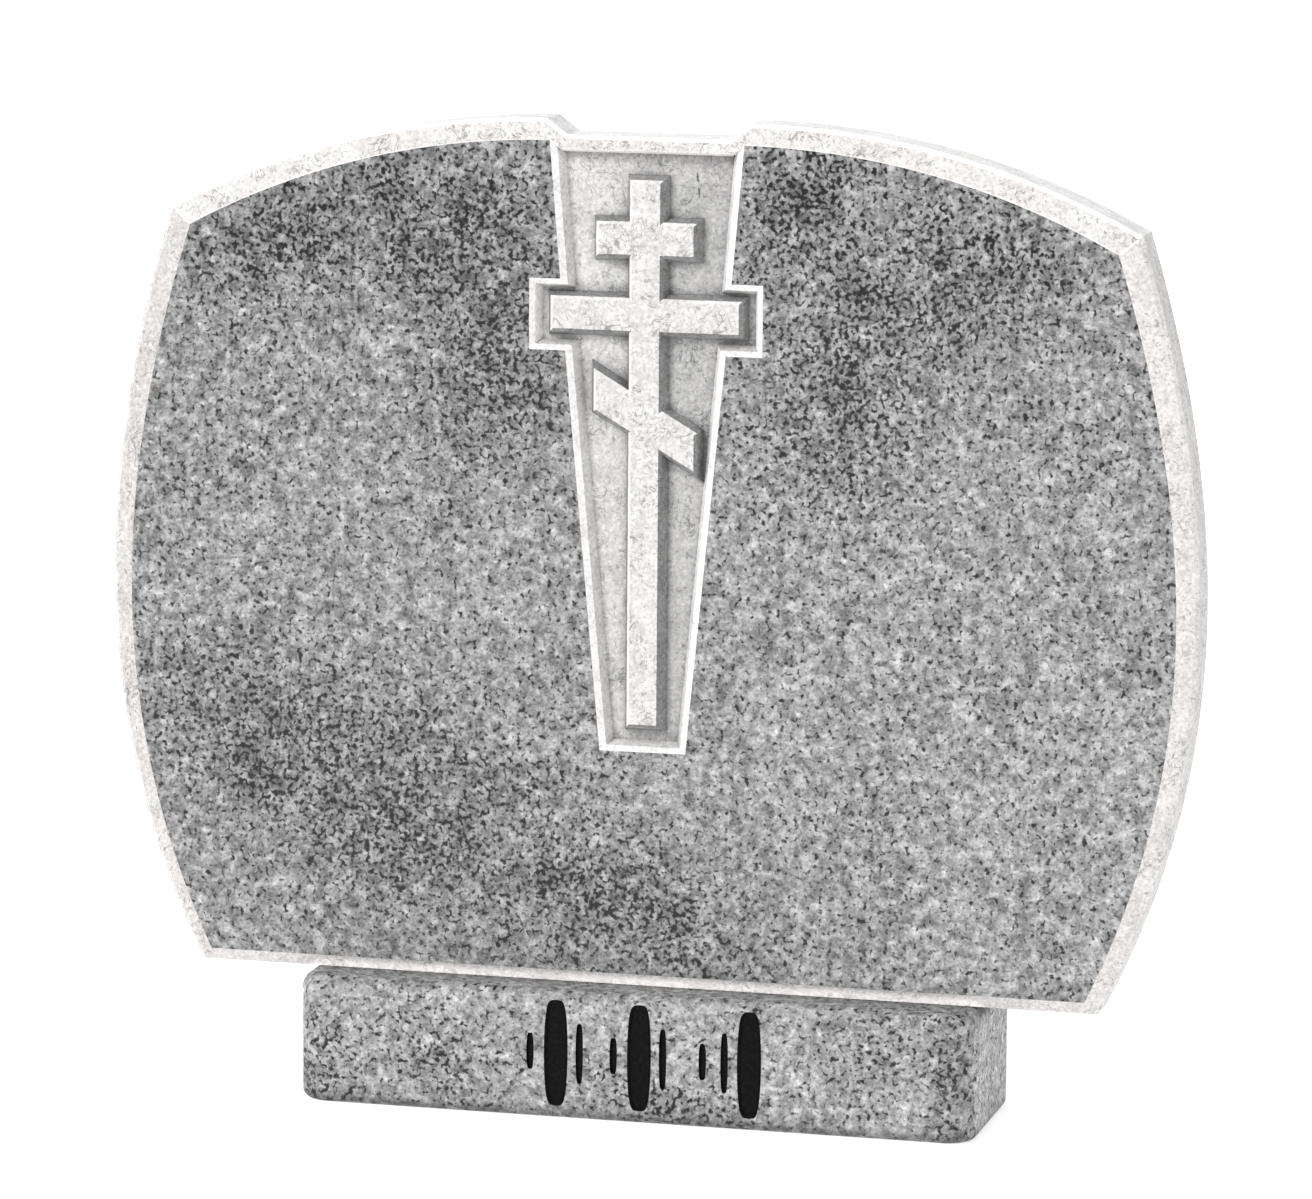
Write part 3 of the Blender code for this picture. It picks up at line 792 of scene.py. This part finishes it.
def build_plinth():
    looks = [plinth_granite(), paint()]
    bm = bmesh.new()
    rings = [block_ring(bm, inset, level) for inset, level in block_levels()]
    for lower, upper in zip(rings, rings[1:]):
        bridge(bm, lower, upper, 0)
    bm.faces.new(rings[0])
    bm.faces.new(rings[-1])
    block = as_object("block_scratch", bm, looks)
    bm = bmesh.new()
    for stroke in strokes():
        stroke_cutter(bm, *stroke)
    cutter = as_object("cutter_scratch", bm, looks)
    cut = block.modifiers.new("strokes", "BOOLEAN")
    cut.operation = "DIFFERENCE"
    cut.solver = "EXACT"
    cut.object = cutter
    bpy.context.view_layer.update()
    graph = bpy.context.evaluated_depsgraph_get()
    carved = bmesh.new()
    carved.from_object(block, graph)
    for scratch in (block, cutter):
        bpy.data.objects.remove(scratch, do_unlink=True)
    return add_piece("marker_plinth", carved, looks, "plinth")


def add_camera():
    cos_p, sin_p = math.cos(CAMERA_PITCH), math.sin(CAMERA_PITCH)
    cos_y, sin_y = math.cos(CAMERA_YAW), math.sin(CAMERA_YAW)
    back = Vector((sin_y * cos_p, -cos_y * cos_p, sin_p))
    right = Vector((cos_y, sin_y, 0.0))
    up = back.cross(right)
    cos_r, sin_r = math.cos(CAMERA_ROLL), math.sin(CAMERA_ROLL)
    across = right * cos_r + up * sin_r
    upward = up * cos_r - right * sin_r
    turn = Matrix((across, upward, back)).transposed().to_4x4()
    data = bpy.data.cameras.new("camera")
    data.sensor_width = SENSOR
    data.lens = LENS
    data.clip_start = CLIP_NEAR
    data.clip_end = CLIP_FAR
    camera = bpy.data.objects.new("camera", data)
    bpy.context.scene.collection.objects.link(camera)
    camera.matrix_world = Matrix.Translation(CAMERA_TARGET + back * CAMERA_DISTANCE) @ turn
    bpy.context.scene.camera = camera


# The stage: a floor that glows a little so that it reads near white, one broad sun and a white sky
FLOOR_HALF = 60.0
FLOOR_COLOUR = (0.9, 0.9, 0.9, 1.0)
FLOOR_ROUGH = 0.9
FLOOR_GLOW = 0.60
WHITE = (1.0, 1.0, 1.0, 1.0)
SUN_STRENGTH = 1.95
SUN_SOFTNESS = math.radians(18)
SUN_FROM = Vector((-0.48, -0.66, 0.60))
WORLD_STRENGTH = 0.62


def add_stage():
    bm = bmesh.new()
    corners = [(-1, -1), (1, -1), (1, 1), (-1, 1)]
    bm.faces.new([bm.verts.new((x * FLOOR_HALF, y * FLOOR_HALF, 0.0)) for x, y in corners])
    look = bpy.data.materials.new("pale_floor")
    look.use_nodes = True
    shader = look.node_tree.nodes["Principled BSDF"]
    shader.inputs["Base Color"].default_value = FLOOR_COLOUR
    shader.inputs["Roughness"].default_value = FLOOR_ROUGH
    shader.inputs["Specular IOR Level"].default_value = 0.0
    shader.inputs["Emission Color"].default_value = WHITE
    shader.inputs["Emission Strength"].default_value = FLOOR_GLOW
    floor = as_object("floor", bm, [look])

    sun = bpy.data.lights.new("key", "SUN")
    sun.energy = SUN_STRENGTH
    sun.angle = SUN_SOFTNESS
    lamp = bpy.data.objects.new("key", sun)
    bpy.context.scene.collection.objects.link(lamp)
    lamp.rotation_mode = "QUATERNION"
    lamp.rotation_quaternion = SUN_FROM.to_track_quat("Z", "Y")

    world = bpy.data.worlds.new("studio")
    world.use_nodes = True
    sky = world.node_tree.nodes["Background"]
    sky.inputs["Color"].default_value = WHITE
    sky.inputs["Strength"].default_value = WORLD_STRENGTH
    bpy.context.scene.world = world
    bpy.context.scene.view_settings.view_transform = "Standard"


build_tablet()
build_plinth()
add_camera()
add_stage()
